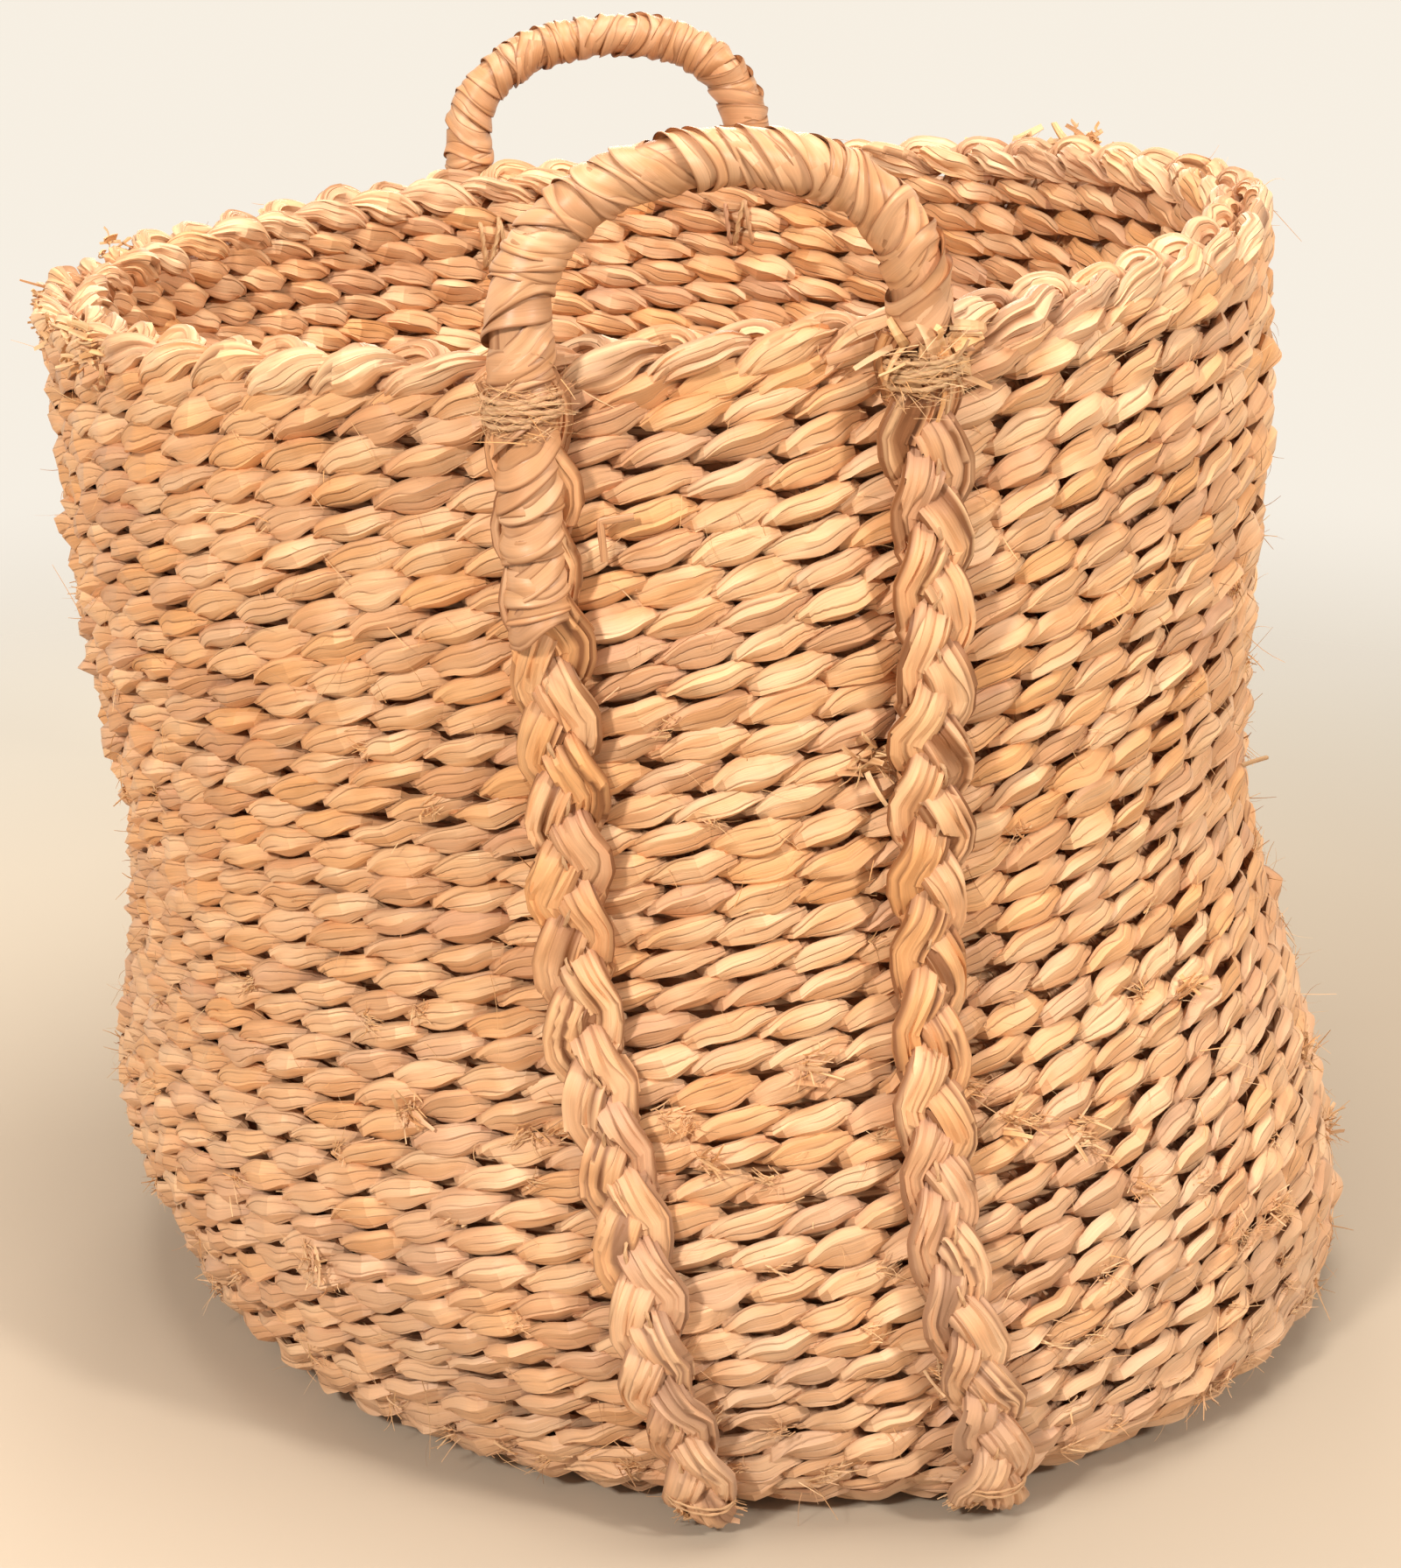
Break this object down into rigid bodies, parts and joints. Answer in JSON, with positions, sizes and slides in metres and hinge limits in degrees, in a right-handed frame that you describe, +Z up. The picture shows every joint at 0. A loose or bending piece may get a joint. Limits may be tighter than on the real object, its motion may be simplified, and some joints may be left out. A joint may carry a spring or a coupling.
{
  "type": "laundry basket",
  "caption": "Open round laundry basket coiled from flat husk braid, waisted and leaning, with wrapped loop handles whose braids run down the outside to the floor.",
  "frame": {"origin": "on the floor, at the middle of the basket's outer box seen from above", "axes": "+Z up; -Y towards the front handle; +X to the right seen from the front, the side that the base stands out to"},
  "size_m": [0.5433, 0.5749, 0.5087],
  "materials": {
    "husk_braid": "dry husk, matt with a faint sheen",
    "rim_husk": "dry husk, matt with a faint sheen",
    "husk_ribbon": "smooth husk ribbon, satin",
    "handle_braid": "dry husk, matt",
    "frayed_husk": "frayed, matt",
    "jute_twine": "hairy twine, matt"
  },
  "bodies": {
    "basket": {"coil_base": "husk_braid", "coil_heel": "husk_braid", "coil_wall": "husk_braid", "coil_rim_course": "rim_husk", "front_handle_left_leg_wrap": "husk_ribbon", "front_handle_left_leg_core": "handle_braid", "front_handle_left_leg_braid": "handle_braid", "front_handle_left_rim_lashing": "jute_twine", "front_handle_left_inside_tie": "jute_twine", "front_handle_left_leg_twine": "jute_twine", "front_handle_left_foot_binding": "jute_twine", "front_handle_left_frayed_tuft": "frayed_husk", "front_handle_right_leg_braid": "handle_braid", "front_handle_right_rim_lashing": "jute_twine", "front_handle_right_inside_tie": "jute_twine", "front_handle_right_leg_twine": "jute_twine", "front_handle_right_foot_binding": "jute_twine", "front_handle_right_frayed_tuft": "frayed_husk", "back_handle_left_leg_wrap": "husk_ribbon", "back_handle_left_leg_core": "handle_braid", "back_handle_left_leg_braid": "handle_braid", "back_handle_left_rim_lashing": "jute_twine", "back_handle_left_inside_tie": "jute_twine", "back_handle_left_leg_twine": "jute_twine", "back_handle_left_foot_binding": "jute_twine", "back_handle_left_frayed_tuft": "frayed_husk", "back_handle_right_leg_braid": "handle_braid", "back_handle_right_rim_lashing": "jute_twine", "back_handle_right_inside_tie": "jute_twine", "back_handle_right_leg_twine": "jute_twine", "back_handle_right_foot_binding": "jute_twine", "back_handle_right_frayed_tuft": "frayed_husk"},
    "front_arch": {"front_handle_arch_wrap": "husk_ribbon", "front_handle_arch_core": "handle_braid"},
    "back_arch": {"back_handle_arch_wrap": "husk_ribbon", "back_handle_arch_core": "handle_braid"}
  },
  "joints": [
    {"name": "front_handle_flex", "type": "hinge", "parent": "basket", "child": "front_arch", "pos_m": [-0.12691, -0.25, 0.44177], "axis": [-0.988, 0.1291, -0.0848], "range_deg": [-20, 35], "stiffness_Nm_per_rad": 2},
    {"name": "back_handle_flex", "type": "hinge", "parent": "basket", "child": "back_arch", "pos_m": [-0.06428, 0.22337, 0.44843], "axis": [0.9881, -0.1288, 0.0836], "range_deg": [-20, 35], "stiffness_Nm_per_rad": 2}
  ]
}
